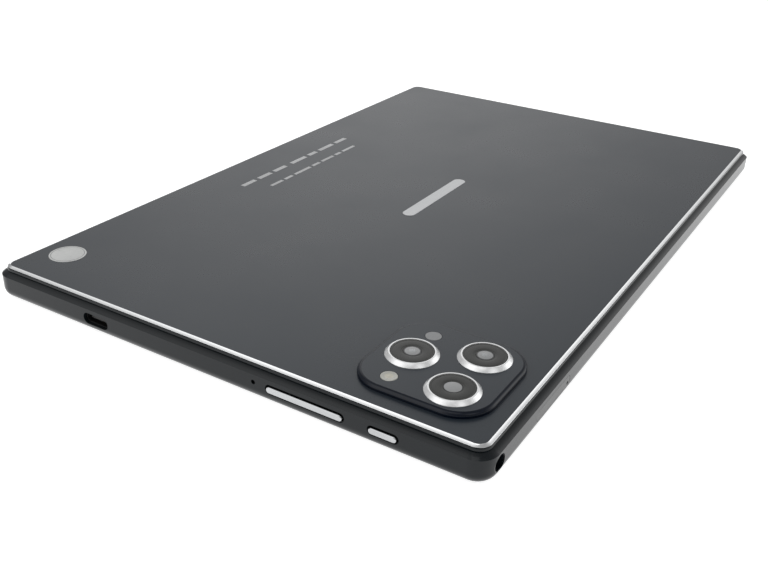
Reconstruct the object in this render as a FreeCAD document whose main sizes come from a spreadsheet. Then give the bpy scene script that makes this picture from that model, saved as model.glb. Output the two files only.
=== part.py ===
import FreeCAD, Part
import math
import os
import Sketcher

# Tablet computer lying on its screen.
# Frame: origin at the bottom centre, on the glass face. +Z up, through the
# rear cover. +X across the width, +Y along the length. The -Y edge carries the
# USB socket and the keys, the +X edge the headphone socket and the card tray.

V = FreeCAD.Vector
doc = FreeCAD.newDocument("TabletComputer")
dims = doc.addObject("Spreadsheet::Sheet", "Dims")
dims.Label = "Dims"
_row = [0]


class Q:
    """A size that knows its number and its expression on the Dims sheet."""

    def __init__(self, text, value):
        self.t = text
        self.v = float(value)

    def __add__(self, o):
        o = q(o)
        return Q("(%s + %s)" % (self.t, o.t), self.v + o.v)

    def __sub__(self, o):
        o = q(o)
        return Q("(%s - %s)" % (self.t, o.t), self.v - o.v)

    def __radd__(self, o):
        return q(o) + self

    def __rsub__(self, o):
        return q(o) - self

    def __mul__(self, o):
        o = q(o)
        return Q("(%s * %s)" % (self.t, o.t), self.v * o.v)

    def __rmul__(self, o):
        return q(o) * self

    def __truediv__(self, o):
        o = q(o)
        return Q("(%s / %s)" % (self.t, o.t), self.v / o.v)

    def __neg__(self):
        return Q("(0 - %s)" % self.t, -self.v)


def q(x):
    if isinstance(x, Q):
        return x
    return Q(repr(float(x)), x)


def dim(name, value):
    """Put one driving dimension on the sheet and return it."""
    _row[0] += 1
    r = _row[0]
    dims.set("A%d" % r, name)
    dims.set("B%d" % r, "%.5g" % value)
    dims.setAlias("B%d" % r, name)
    return Q("Dims.%s" % name, float("%.5g" % value))


def bind(obj, prop, size):
    obj.setExpression(prop, q(size).t)


# ---------------------------------------------------------------- dimensions
body_w = dim("body_w", 156.8)        # across X, without the bulge of the side
body_l = dim("body_l", 240.0)        # along Y, likewise
body_r = dim("body_r", 4.0)          # plan radius of the corners
top_z = dim("top_z", 9.9)            # outer face of the rear cover

glass_t = dim("glass_t", 1.0)
glass_in = dim("glass_in", 1.55)     # glass edge, in from the frame's side
glass_edge = dim("glass_edge", 0.3)
mask_t = dim("mask_t", 0.05)

lip_z = dim("lip_z", 0.3205)         # frame lip beside the glass
lip_in = dim("lip_in", 1.45)
low_in = dim("low_in", 1.35)
low_rad = dim("low_rad", 3.0)        # lower rounding of the frame
low_top = dim("low_top", 3.3)
wall_out = dim("wall_out", 1.3)      # the side wall bulges out this far
wall_top = dim("wall_top", 7.35)     # crease between wall and shoulder
crown_rad = dim("crown_rad", 4.0)    # shoulder above the crease
ledge_in = dim("ledge_in", 0.52)
ledge_z = dim("ledge_z", 8.33)
seat_in = dim("seat_in", 1.0)
seat_z = dim("seat_z", 8.45)         # the cover rests here
wall_t = dim("wall_t", 2.3)
shelf_in = dim("shelf_in", 3.6)
shelf_z0 = dim("shelf_z0", 1.25)
shelf_z1 = dim("shelf_z1", 2.2)

skirt_in = dim("skirt_in", 0.42)     # rear cover side
skirt_mid_in = dim("skirt_mid_in", 0.38)
skirt_mid_z = dim("skirt_mid_z", 8.6)
skirt_rad = dim("skirt_rad", 1.5)
cham_low_in = dim("cham_low_in", 0.6)
cham_low_z = dim("cham_low_z", 9.5)
cham_top_in = dim("cham_top_in", 1.46)
rim_out_in = dim("rim_out_in", 2.5)
rim_in_in = dim("rim_in_in", 3.4)
rim_z = dim("rim_z", 7.6)
cover_t = dim("cover_t", 0.9)

bump_x = dim("bump_x", 54.8)
bump_y = dim("bump_y", -96.5)
bump_w = dim("bump_w", 36.12)
bump_l = dim("bump_l", 34.68)
bump_r = dim("bump_r", 9.73)
bump_h = dim("bump_h", 1.4)
bump_edge = dim("bump_edge", 1.0)
bump_wall = dim("bump_wall", 1.35)
bump_hollow = dim("bump_hollow", 0.5)
lens_a_x = dim("lens_a_x", 46.3)
lens_a_y = dim("lens_a_y", -96.7)
lens_b_x = dim("lens_b_x", 62.1)
lens_b_y = dim("lens_b_y", -88.3)
lens_c_x = dim("lens_c_x", 62.1)
lens_c_y = dim("lens_c_y", -105.1)
ring_base_r = dim("ring_base_rad", 6.9)
ring_top_r = dim("ring_top_rad", 5.95)
ring_bore_r = dim("ring_bore_rad", 5.6)
ring_seat_r = dim("ring_seat_rad", 4.9)
ring_neck_r = dim("ring_neck_rad", 6.05)
ring_h = dim("ring_h", 1.0)
ring_foot = dim("ring_foot", 0.12)
ring_hole_r = dim("ring_hole_rad", 6.1)
disc_t = dim("disc_t", 0.7)
disc_r = dim("disc_rad", 5.55)
dot_hole_r = dim("dot_hole_rad", 2.3)
dot_r = dim("dot_rad", 2.25)
dot_flat_r = dim("dot_flat_rad", 1.6)
flash_x = dim("flash_x", 46.75)
flash_y = dim("flash_y", -108.35)
sensor_x = dim("sensor_x", 46.45)
sensor_y = dim("sensor_y", -86.15)
small_hole_r = dim("small_hole_rad", 2.2)
small_lens_r = dim("small_lens_rad", 2.13)
small_proud = dim("small_proud", 0.04)

side_z = dim("side_z", 4.5)          # height of the sockets
usb_x = dim("usb_x", -38.6)
usb_hole_w = dim("usb_hole_w", 9.16)
usb_hole_h = dim("usb_hole_h", 3.38)
usb_out_w = dim("usb_out_w", 8.94)
usb_out_h = dim("usb_out_h", 3.16)
usb_skin = dim("usb_skin", 0.3)
usb_set = dim("usb_set", 1.0)       # shell front, in from the side
usb_len = dim("usb_len", 7.35)
mic_x = dim("mic_x", 15.9)
mic_z = dim("mic_z", 5.2)
mic_r = dim("mic_hole_rad", 0.62)
key_z = dim("key_z", 4.8)
vol_x = dim("vol_x", 31.15)
vol_w = dim("vol_w", 22.1)
vol_h = dim("vol_h", 1.7)
pow_x = dim("pow_x", 53.2)
pow_w = dim("pow_w", 7.5)
pow_h = dim("pow_h", 1.65)
key_gap = dim("key_gap", 0.5)
key_proud = dim("key_proud", 0.45)
key_round = dim("key_round", 0.3)
flange_y0 = dim("flange_y0", 2.7)    # in from the side
flange_t = dim("flange_t", 0.6)
flange_over = dim("flange_over", 1.2)
flange_top = dim("flange_top", 7.0)
flange_bot = dim("flange_bot", 3.1)
post_r = dim("post_rad", 0.6)
post_len = dim("post_len", 0.3)
rock_arm = dim("rock_arm", 8.0)
rock_y = dim("rock_y", 3.7)          # rocker pivot, in from the side
rock_r = dim("rock_rad", 0.3)
rock_half = dim("rock_half_h", 0.45)

jack_y = dim("jack_y", -115.2)
jack_hole_r = dim("jack_hole_rad", 2.1)
jack_cham = dim("jack_cham", 0.25)
jack_bore_r = dim("jack_bore_rad", 1.78)
jack_len = dim("jack_len", 14.0)
tray_y = dim("tray_y", -85.0)
tray_w = dim("tray_w", 20.6)
tray_h = dim("tray_h", 2.7)
tray_gap = dim("tray_gap", 0.1)
tray_face_t = dim("tray_face_t", 1.6)
pin_y = dim("pin_y", -76.2)
pin_r = dim("pin_rad", 0.45)
pin_z = dim("pin_z", 4.0)

A = body_w / 2
B = body_l / 2

nodes = []                            # (label, object)


def keep(label, obj):
    obj.Label = label
    nodes.append((label, obj))
    return obj


# ------------------------------------------------------------------- helpers
def origin_plane(body, role):
    for f in body.Origin.OriginFeatures:
        if f.Role == role:
            return f


def new_body(name):
    return doc.addObject("PartDesign::Body", name)


def sketch(body, name, role="XY_Plane", off=0.0):
    """Empty sketch on one of the body's own origin planes, moved along it."""
    s = body.newObject("Sketcher::SketchObject", name)
    s.AttachmentSupport = [(origin_plane(body, role), "")]
    s.MapMode = "FlatFace"
    off = q(off)
    s.AttachmentOffset = FreeCAD.Placement(V(0, 0, off.v), FreeCAD.Rotation())
    if off.t != "0.0":
        bind(s, "AttachmentOffset.Base.z", off)
    return s


def fix_point(s, geo, pos, x, y):
    for kind, size in (("DistanceX", q(x)), ("DistanceY", q(y))):
        c = s.addConstraint(Sketcher.Constraint(kind, -1, 1, geo, pos, size.v))
        if "Dims" in size.t:
            s.setExpression("Constraints[%d]" % c, size.t)


def fix_radius(s, geo, r):
    r = q(r)
    c = s.addConstraint(Sketcher.Constraint("Radius", geo, r.v))
    if "Dims" in r.t:
        s.setExpression("Constraints[%d]" % c, r.t)


def poly(s, pts):
    """Closed outline. A point is (x, y) or (x, y, rad): the edge that arrives
    at it is then an arc of that radius, positive when it turns left. A fourth
    entry, "x" or "y", marks a half circle whose centre shares that coordinate."""
    n = len(pts)
    ids = []
    for k in range(n):
        a = pts[k]
        b = pts[(k + 1) % n]
        ax, ay, bx, by = q(a[0]).v, q(a[1]).v, q(b[0]).v, q(b[1]).v
        if len(b) >= 3:
            r = q(b[2]).v
            left = r > 0
            r = abs(r)
            mx, my = (ax + bx) / 2, (ay + by) / 2
            dx, dy = bx - ax, by - ay
            d = math.hypot(dx, dy)
            hh = math.sqrt(max(r * r - d * d / 4, 0))
            nx, ny = -dy / d, dx / d
            if not left:
                nx, ny = -nx, -ny
            cx, cy = mx + nx * hh, my + ny * hh
            a0 = math.atan2(ay - cy, ax - cx)
            a1 = math.atan2(by - cy, bx - cx)
            circ = Part.Circle(V(cx, cy, 0), V(0, 0, 1), r)
            if left:
                g = Part.ArcOfCircle(circ, a0, a1)
                ids.append((s.addGeometry(g, False), 1, 2))
            else:
                g = Part.ArcOfCircle(circ, a1, a0)
                ids.append((s.addGeometry(g, False), 2, 1))
        else:
            g = Part.LineSegment(V(ax, ay, 0), V(bx, by, 0))
            ids.append((s.addGeometry(g, False), 1, 2))
    for k in range(n):
        g0 = ids[k]
        g1 = ids[(k + 1) % n]
        s.addConstraint(Sketcher.Constraint("Coincident", g0[0], g0[2], g1[0], g1[1]))
    for k in range(n):
        fix_point(s, ids[k][0], ids[k][1], pts[k][0], pts[k][1])
        b = pts[(k + 1) % n]
        if len(b) == 3:
            rr = q(b[2])
            fix_radius(s, ids[k][0], rr if rr.v > 0 else -rr)
        elif len(b) == 4:
            kind, size = ("DistanceX", q(b[0])) if b[3] == "x" else ("DistanceY", q(b[1]))
            c = s.addConstraint(Sketcher.Constraint(kind, -1, 1, ids[k][0], 3, size.v))
            if "Dims" in size.t:
                s.setExpression("Constraints[%d]" % c, size.t)
    return ids


def rrect(s, cx, cy, w, d, r):
    """Rounded rectangle outline."""
    cx, cy, w, d, r = q(cx), q(cy), q(w), q(d), q(r)
    x0, x1 = cx - w / 2, cx + w / 2
    y0, y1 = cy - d / 2, cy + d / 2
    if r.v <= 1e-6:
        return poly(s, [(x0, y0), (x1, y0), (x1, y1), (x0, y1)])
    if w.v - 2 * r.v < 1e-4:
        return poly(s, [(x1, y0 + r, r, "y"), (x1, y1 - r), (x0, y1 - r, r, "y"), (x0, y0 + r)])
    if d.v - 2 * r.v < 1e-4:
        return poly(s, [(x0 + r, y0, r, "x"), (x1 - r, y0), (x1 - r, y1, r, "x"), (x0 + r, y1)])
    return poly(s, [(x0 + r, y0, r), (x1 - r, y0), (x1, y0 + r, r), (x1, y1 - r),
                    (x1 - r, y1, r), (x0 + r, y1), (x0, y1 - r, r), (x0, y0 + r)])


def circle(s, cx, cy, r):
    cx, cy, r = q(cx), q(cy), q(r)
    g = s.addGeometry(Part.Circle(V(cx.v, cy.v, 0), V(0, 0, 1), r.v), False)
    fix_point(s, g, 3, cx, cy)
    fix_radius(s, g, r)
    return g


def pad(body, s, length, name="Pad", reverse=False):
    f = body.newObject("PartDesign::Pad", name)
    f.Profile = s
    f.Length = q(length).v
    bind(f, "Length", length)
    f.Reversed = reverse
    body.Tip = f
    doc.recompute([body])
    return f


def pocket(body, s, length, name="Pocket", reverse=False, must=True):
    before = body.Shape.Volume
    f = body.newObject("PartDesign::Pocket", name)
    f.Profile = s
    f.Length = q(length).v
    bind(f, "Length", length)
    f.Reversed = reverse
    body.Tip = f
    doc.recompute([body])
    if must and not body.Shape.Volume < before - 1e-4:
        raise RuntimeError("pocket %s in %s removes nothing" % (name, body.Name))
    return f


def soften(body, name, size, test, kind="PartDesign::Fillet"):
    """Round or chamfer the edges whose end points all pass the test."""
    last = body.Tip
    names = ["Edge%d" % (k + 1) for k, e in enumerate(last.Shape.Edges)
             if all(test(v) for v in e.Vertexes)]
    f = body.newObject(kind, name)
    f.Base = (last, names)
    prop = "Radius" if kind.endswith("Fillet") else "Size"
    setattr(f, prop, q(size).v)
    bind(f, prop, size)
    body.Tip = f
    doc.recompute([body])
    return f


def plate(label, z0, z1, outline, holes=()):
    """A flat piece: one rounded outline with openings, between two heights.
    outline and rectangular holes: (cx, cy, w, d, r); round holes: (cx, cy, r)."""
    z0, z1 = q(z0), q(z1)
    b = new_body(label)
    s = sketch(b, label + "_outline", "XY_Plane", z0)
    rrect(s, *outline)
    for h in holes:
        if len(h) == 3:
            circle(s, *h)
        else:
            rrect(s, *h)
    pad(b, s, z1 - z0)
    return keep(label, b)


def turned(label, pts, x=0.0, y=0.0):
    """A turned piece: its half section (radius, height) turned about Z."""
    b = new_body(label)
    s = sketch(b, label + "_section", "XZ_Plane")
    poly(s, pts)
    f = b.newObject("PartDesign::Revolution", "Turn")
    f.Profile = s
    f.ReferenceAxis = (s, ["V_Axis"])
    f.Angle = 360.0
    b.Tip = f
    x, y = q(x), q(y)
    b.Placement = FreeCAD.Placement(V(x.v, y.v, 0), FreeCAD.Rotation())
    bind(b, "Placement.Base.x", x)
    bind(b, "Placement.Base.y", y)
    doc.recompute([b])
    return keep(label, b)


def box(name, x0, x1, y0, y1, z0, z1):
    x0, x1, y0, y1, z0, z1 = [q(k) for k in (x0, x1, y0, y1, z0, z1)]
    o = doc.addObject("Part::Box", name)
    o.Length, o.Width, o.Height = x1.v - x0.v, y1.v - y0.v, z1.v - z0.v
    bind(o, "Length", x1 - x0)
    bind(o, "Width", y1 - y0)
    bind(o, "Height", z1 - z0)
    o.Placement = FreeCAD.Placement(V(x0.v, y0.v, z0.v), FreeCAD.Rotation())
    bind(o, "Placement.Base.x", x0)
    bind(o, "Placement.Base.y", y0)
    bind(o, "Placement.Base.z", z0)
    return o


def rod(name, x, y, z, r, length, axis="Z"):
    x, y, z, r, length = [q(k) for k in (x, y, z, r, length)]
    o = doc.addObject("Part::Cylinder", name)
    o.Radius, o.Height = r.v, length.v
    bind(o, "Radius", r)
    bind(o, "Height", length)
    rot = {"Z": FreeCAD.Rotation(),
           "X": FreeCAD.Rotation(V(0, 1, 0), 90),
           "Y": FreeCAD.Rotation(V(1, 0, 0), -90)}[axis]
    o.Placement = FreeCAD.Placement(V(x.v, y.v, z.v), rot)
    bind(o, "Placement.Base.x", x)
    bind(o, "Placement.Base.y", y)
    bind(o, "Placement.Base.z", z)
    return o


def cut(name, base, tools):
    tool = tools[0]
    if len(tools) > 1:
        tool = doc.addObject("Part::MultiFuse", name + "_tools")
        tool.Shapes = list(tools)
    o = doc.addObject("Part::Cut", name)
    o.Base = base
    o.Tool = tool
    return o


def fuse(name, parts):
    o = doc.addObject("Part::MultiFuse", name)
    o.Shapes = list(parts)
    o.Refine = True
    return o


def group(name, parts):
    o = doc.addObject("Part::Compound", name)
    o.Links = list(parts)
    return o


def block(label, x0, x1, y0, y1, z0, z1):
    """Six sheet cells for a plain block inside the tablet."""
    out = []
    for tag, val in (("x_lo", x0), ("x_hi", x1), ("y_lo", y0), ("y_hi", y1),
                     ("z_lo", z0), ("z_hi", z1)):
        out.append(val if isinstance(val, Q) else dim("%s_%s" % (label, tag), val))
    return out


def slab(label, x0, x1, y0, y1, z0, z1, r=0.0, holes=()):
    """A block made as a sketched plate with rounded corners."""
    x0, x1, y0, y1, z0, z1 = block(label, x0, x1, y0, y1, z0, z1)
    rr = dim("%s_corner" % label, r) if r else 0.0
    return plate(label, z0, z1, ((x0 + x1) / 2, (y0 + y1) / 2, x1 - x0, y1 - y0, rr), holes)


def loop_path(body, name, inset=0.0):
    """The rounded plan outline of the tablet, started mid-side at +X."""
    s = sketch(body, name, "XY_Plane")
    a, b, r = A - inset, B - inset, body_r - inset
    poly(s, [(a, 0.0), (a, b - r), (a - r, b, r), (r - a, b), (-a, b - r, r),
             (-a, r - b), (r - a, -b, r), (a - r, -b), (a, r - b, r)])
    return s


def sweep_round(body, name, pts):
    """Carry a section (inset from the side, height) once round the tablet."""
    prof = sketch(body, name + "_section", "XZ_Plane")
    poly(prof, [(A - p[0], q(p[1])) + tuple(p[2:]) for p in pts])
    path = loop_path(body, name + "_path")
    f = body.newObject("PartDesign::AdditivePipe", name)
    f.Profile = prof
    f.Spine = (path, [])
    f.Mode = "Standard"
    f.Transition = "Right corner"
    body.Tip = f
    doc.recompute([body])
    return f


# ------------------------------------------------------ glass and display set
glass = new_body("cover_glass")
s = sketch(glass, "glass_outline")
rrect(s, 0.0, 0.0, body_w - 2 * glass_in, body_l - 2 * glass_in, body_r - glass_in)
pad(glass, s, glass_t)
soften(glass, "GlassEdge", glass_edge, lambda v: abs(v.Z) < 1e-6)
keep("cover_glass", glass)

act_w = dim("active_w", 135.0)
act_l = dim("active_l", 216.0)
act_y = dim("active_y", 1.0)
cam_x = dim("front_cam_x", 0.0)
cam_y = dim("front_cam_y", -113.0)
cam_r = dim("front_cam_rad", 1.6)
mask_in = dim("mask_in", 0.5)
plate("bezel_mask", glass_t, glass_t + mask_t,
      (0.0, 0.0, body_w - 2 * glass_in - 2 * mask_in, body_l - 2 * glass_in - 2 * mask_in,
       body_r - glass_in - mask_in),
      [(0.0, act_y, act_w, act_l, 0.8), (cam_x, cam_y, cam_r)])

lcd_w = dim("lcd_w", 145.0)
lcd_l = dim("lcd_l", 221.0)
lcd_y = dim("lcd_y", 1.0)
lcd_z1 = dim("lcd_z1", 1.95)
guide_z1 = dim("guide_z1", 2.6)
tray_z1 = dim("backlight_z1", 3.0)
plate("display_panel", glass_t + mask_t, lcd_z1, (0.0, lcd_y, lcd_w, lcd_l, 0.6))
guide_in = dim("guide_in", 0.5)
plate("light_guide", lcd_z1, guide_z1,
      (0.0, lcd_y, lcd_w - 2 * guide_in, lcd_l - 2 * guide_in, 0.4))
bt = new_body("backlight_tray")
s = sketch(bt, "backlight_outline", "XY_Plane", lcd_z1)
rrect(s, 0.0, lcd_y, lcd_w, lcd_l, 0.8)
pad(bt, s, tray_z1 - lcd_z1)
s = sketch(bt, "backlight_hollow", "XY_Plane", lcd_z1)
rrect(s, 0.0, lcd_y, lcd_w - 2 * guide_in + 0.1, lcd_l - 2 * guide_in + 0.1, 0.4)
pocket(bt, s, guide_z1 - lcd_z1 + 0.02, reverse=True)
keep("backlight_tray", bt)

gasket_in = dim("gasket_in", 2.0)
gasket_w = dim("gasket_w", 1.4)
plate("display_gasket", glass_t + mask_t, shelf_z0,
      (0.0, 0.0, body_w - 2 * (gasket_in + 0.1), body_l - 2 * (gasket_in + 0.1),
       body_r - gasket_in - 0.1),
      [(0.0, 0.0, body_w - 2 * (gasket_in + gasket_w), body_l - 2 * (gasket_in + gasket_w), 0.5)])

# ------------------------------------------------------------------ side frame
frame = new_body("side_frame")
sweep_round(frame, "FrameRing", [
    (shelf_in, shelf_z0), (shelf_in, shelf_z1), (wall_t, shelf_z1), (wall_t, seat_z),
    (seat_in, seat_z), (seat_in, ledge_z), (ledge_in, ledge_z),
    (-wall_out, wall_top, -crown_rad), (-wall_out, low_top), (low_in, lip_z, -low_rad),
    (lip_in, lip_z), (lip_in, shelf_z0)])

# inner screw bosses for the mid plate, standing on the shelf
boss_in = dim("boss_in", 5.2)
boss_w = dim("boss_w", 4.2)
mid_z0 = dim("mid_z0", 3.1)
mid_z1 = dim("mid_z1", 3.5)
mid_in = dim("mid_in", 2.6)
boss_y = dim("boss_y", 98.0)
boss_y2 = dim("boss_y_inner", 35.0)
thread_r = dim("thread_rad", 0.6)
boss_at = [(1, boss_y, "a"), (1, boss_y2, "b"), (1, -boss_y2, "c"),
           (-1, boss_y, "d"), (-1, boss_y2, "e"), (-1, -boss_y2, "f"), (-1, -boss_y, "g")]
s = sketch(frame, "boss_outlines", "XY_Plane", shelf_z0)
for side, y, tag in boss_at:
    inner, outer = A - boss_in, A - wall_t + 0.3
    if side < 0:
        inner, outer = -outer, -inner
    poly(s, [(inner, y - boss_w / 2), (outer, y - boss_w / 2),
             (outer, y + boss_w / 2), (inner, y + boss_w / 2)])
pad(frame, s, mid_z0 - shelf_z0, "Bosses")
screw_in = dim("screw_in", 4.1)
s = sketch(frame, "boss_holes", "XY_Plane", mid_z0 + 0.5)
for side, y, tag in boss_at:
    circle(s, side * (A - screw_in) if side > 0 else -(A - screw_in), y, thread_r)
pocket(frame, s, mid_z0 + 0.5 - shelf_z0 - 0.3, "BossHoles")


def front_cut(name, outlines, depth):
    """Openings through the -Y side. Each outline (x, z, width, height)."""
    s = sketch(frame, name + "_outline", "XZ_Plane", B + 3.0)
    for o in outlines:
        if len(o) == 3:
            circle(s, *o)
        else:
            x, z, w, hh = [q(k) for k in o]
            rrect(s, x, z, w, hh, hh / 2)
    pocket(frame, s, q(depth) + 3.0, name)


front_cut("UsbOpening", [(usb_x, side_z, usb_hole_w, usb_hole_h)], shelf_in + 0.2)
front_cut("KeySlots", [(vol_x, key_z, vol_w + 2 * key_gap, vol_h + 2 * key_gap),
                       (pow_x, key_z, pow_w + 2 * key_gap, pow_h + 2 * key_gap)], wall_t + 0.1)
front_cut("MicHole", [(mic_x, mic_z, mic_r)], wall_t + 0.1)

# +X side: headphone hole with a small chamfer, tray opening
s = sketch(frame, "jack_outline", "YZ_Plane", A + 3.0)
circle(s, jack_y, side_z, jack_hole_r)
pocket(frame, s, wall_t + 4.9, "JackHole")
s = sketch(frame, "jack_countersink", "YZ_Plane", A + wall_out + 0.02)
circle(s, jack_y, side_z, jack_hole_r + jack_cham)
pocket(frame, s, jack_cham, "JackMouth")
jack_w = dim("jack_w", 4.8)
jack_z0 = dim("jack_z_lo", 2.4)
jack_z1 = dim("jack_z_hi", 6.6)
s = sketch(frame, "tray_outline", "YZ_Plane", A + 3.0)
rrect(s, tray_y, side_z, tray_w + 2 * tray_gap, tray_h + 2 * tray_gap, tray_h / 2 + tray_gap)
pocket(frame, s, wall_t + 3.1, "TrayOpening")

# loudspeaker ports through the +Y side
port_x = dim("port_x", 48.0)
port_pitch = dim("port_pitch", 2.4)
port_r = dim("port_rad", 0.6)
port_z = dim("port_z", 5.0)
s = sketch(frame, "speaker_ports", "XZ_Plane", -(B + 3.0))
for side in (-1, 1):
    for k in range(8):
        circle(s, side * port_x + (k - 3.5) * port_pitch, port_z, port_r)
pocket(frame, s, wall_t + 3.1, "SpeakerPorts", reverse=True)
keep("side_frame", frame)

# -------------------------------------------------------------------- mid plate
mid_y0 = dim("mid_y_lo", -108.9)
slot_x0 = dim("slot_room_x", 41.0)
mp = new_body("mid_plate")
s = sketch(mp, "mid_outline", "XY_Plane", mid_z0)
a, b, rr = A - mid_in, B - mid_in, body_r - mid_in
poly(s, [(-a, mid_y0), (a, mid_y0), (a, -97.8), (slot_x0, -97.8), (slot_x0, -73.8),
         (a, -73.8), (a, b - rr), (a - rr, b, rr), (rr - a, b), (-a, b - rr, rr)])
pad(mp, s, mid_z1 - mid_z0)
screw_clear = dim("screw_clear_rad", 0.75)
stand = [(dim("stand_%s_x" % n, x), dim("stand_%s_y" % n, y)) for n, x, y in
         (("a", -68.0, -101.0), ("b", -10.0, -103.0), ("c", 33.0, -104.0),
          ("d", -68.0, -70.5), ("e", -24.0, -70.0), ("f", 37.0, -70.5))]
s = sketch(mp, "mid_holes", "XY_Plane", mid_z1 + 0.5)
for side, y, tag in boss_at:
    circle(s, (A - screw_in) if side > 0 else -(A - screw_in), y, screw_clear)
for k in range(3):
    rrect(s, -30.0 + 30.0 * k, 60.0, 18.0, 8.0, 2.0)
pocket(mp, s, mid_z1 - mid_z0 + 1.0, "MidHoles")
board_z0 = dim("board_z_lo", 5.0)
board_z1 = dim("board_z_hi", 5.8)
stand_r = dim("stand_rad", 1.7)
s = sketch(mp, "standoffs", "XY_Plane", mid_z1)
for x, y in stand:
    circle(s, x, y, stand_r)
pad(mp, s, board_z0 - mid_z1, "Standoffs")
s = sketch(mp, "standoff_threads", "XY_Plane", board_z0 + 0.5)
for x, y in stand:
    circle(s, x, y, thread_r)
pocket(mp, s, board_z0 + 0.5 - mid_z0 - 0.05, "Threads")
keep("mid_plate", mp)

# ------------------------------------------------------------------- rear cover
cover = new_body("rear_cover")
sweep_round(cover, "CoverRim", [
    (skirt_in, seat_z), (rim_out_in, seat_z), (rim_out_in, rim_z), (rim_in_in, rim_z),
    (rim_in_in, top_z), (cham_top_in, top_z), (cham_low_in, cham_low_z),
    (skirt_mid_in, skirt_mid_z, -skirt_rad)])
s = sketch(cover, "cover_outline", "XY_Plane", top_z - cover_t)
rrect(s, 0.0, 0.0, body_w - 2 * rim_in_in + 0.8, body_l - 2 * rim_in_in + 0.8, 0.9)
pad(cover, s, cover_t, "CoverPlate")
win_w = dim("window_w", 32.0)
win_l = dim("window_l", 30.5)
win_r = dim("window_corner", 8.0)
s = sketch(cover, "camera_window", "XY_Plane", top_z + 0.5)
rrect(s, bump_x, bump_y, win_w, win_l, win_r)
pocket(cover, s, cover_t + 1.0, "CameraWindow")
keep("rear_cover", cover)

# ------------------------------------------------------------------ camera bump
bump = new_body("camera_bump")
s = sketch(bump, "bump_outline", "XY_Plane", top_z)
rrect(s, bump_x, bump_y, bump_w, bump_l, bump_r)
pad(bump, s, bump_h)
top_b = (top_z + bump_h).v
soften(bump, "BumpEdge", bump_edge, lambda v: abs(v.Z - top_b) < 1e-6)
s = sketch(bump, "bump_hollow_outline", "XY_Plane", top_z - 0.5)
rrect(s, bump_x, bump_y, bump_w - 2 * bump_wall, bump_l - 2 * bump_wall, bump_r - bump_wall)
pocket(bump, s, bump_hollow + 0.5, "BumpHollow", reverse=True)
s = sketch(bump, "bump_holes", "XY_Plane", top_z + bump_h + 0.5)
for x, y in ((lens_a_x, lens_a_y), (lens_b_x, lens_b_y), (lens_c_x, lens_c_y)):
    circle(s, x, y, ring_hole_r)
circle(s, flash_x, flash_y, small_hole_r)
circle(s, sensor_x, sensor_y, small_hole_r)
pocket(bump, s, bump_h + 0.6, "BumpHoles")
keep("camera_bump", bump)

bump_top = top_z + bump_h
ring_top = bump_top + ring_h
ring_bot = top_z + bump_hollow
disc_z0 = ring_top - disc_t - 0.1
for n, x, y in ((1, lens_a_x, lens_a_y), (2, lens_b_x, lens_b_y), (3, lens_c_x, lens_c_y)):
    turned("lens_ring_%d" % n, [
        (ring_seat_r, ring_bot), (ring_neck_r, ring_bot), (ring_neck_r, bump_top),
        (ring_base_r, bump_top), (ring_base_r, bump_top + ring_foot), (ring_top_r, ring_top),
        (ring_bore_r, ring_top), (ring_bore_r, disc_z0), (ring_seat_r, disc_z0)], x, y)
    turned("lens_disc_%d" % n, [
        (dot_hole_r, disc_z0), (disc_r, disc_z0), (disc_r, disc_z0 + disc_t - 0.06),
        (disc_r - 0.06, disc_z0 + disc_t), (dot_hole_r, disc_z0 + disc_t)], x, y)
    turned("lens_glass_%d" % n, [
        (0.0, disc_z0), (dot_r, disc_z0), (dot_r, disc_z0 + disc_t - 0.02),
        (dot_flat_r, disc_z0 + disc_t + 0.06), (0.0, disc_z0 + disc_t + 0.06)], x, y)

turned("flash_lens", [(0.0, ring_bot), (small_lens_r, ring_bot),
                      (small_lens_r, bump_top), (small_lens_r - 0.1, bump_top + small_proud),
                      (0.0, bump_top + small_proud)], flash_x, flash_y)
turned("sensor_window", [(0.0, ring_bot), (small_lens_r, ring_bot),
                         (small_lens_r, bump_top), (small_lens_r - 0.1, bump_top + small_proud),
                         (0.0, bump_top + small_proud)], sensor_x, sensor_y)

# --------------------------------------------------- what is on the rear cover
label_x = dim("label_x", -67.8)
label_y = dim("label_y", -104.2)
label_r = dim("label_rad", 5.4)
label_t = dim("label_t", 0.12)
turned("round_label", [(0.0, top_z), (label_r, top_z), (label_r, top_z + label_t),
                       (0.0, top_z + label_t)], label_x, label_y)
badge_x = dim("badge_x", -0.5)
badge_y = dim("badge_y", -0.5)
badge_w = dim("badge_w", 4.4)
badge_l = dim("badge_l", 40.0)
badge_t = dim("badge_t", 0.1)
plate("badge", top_z, top_z + badge_t, (badge_x, badge_y, badge_w, badge_l, badge_w / 2))

print_t = dim("print_t", 0.03)
print_ax = dim("print_a_x", -61.0)
print_bx = dim("print_b_x", -53.0)
print_aw = dim("print_a_w", 1.8)
print_bw = dim("print_b_w", 1.3)
bars = []
for tag, px, pw, spans in (
        ("a", print_ax, print_aw, ((-31.5, -24.5), (-22.5, -15.5), (-13.5, -6.5), (-3.0, 6.0),
                                   (8.0, 13.0), (15.0, 24.0), (26.0, 33.0))),
        ("b", print_bx, print_bw, ((-25.5, -19.0), (-17.5, -13.0), (-11.5, -2.0), (-0.5, 4.0),
                                   (5.5, 13.0), (14.5, 18.0), (19.5, 27.5)))):
    for k, (y0, y1) in enumerate(spans):
        yy0 = dim("print_%s_lo_%d" % (tag, k), y0)
        yy1 = dim("print_%s_hi_%d" % (tag, k), y1)
        bars.append(box("print_bar_%s%d" % (tag, k), px - pw / 2, px + pw / 2, yy0, yy1,
                        top_z, top_z + print_t))
keep("rear_print", group("rear_print", bars))

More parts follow.
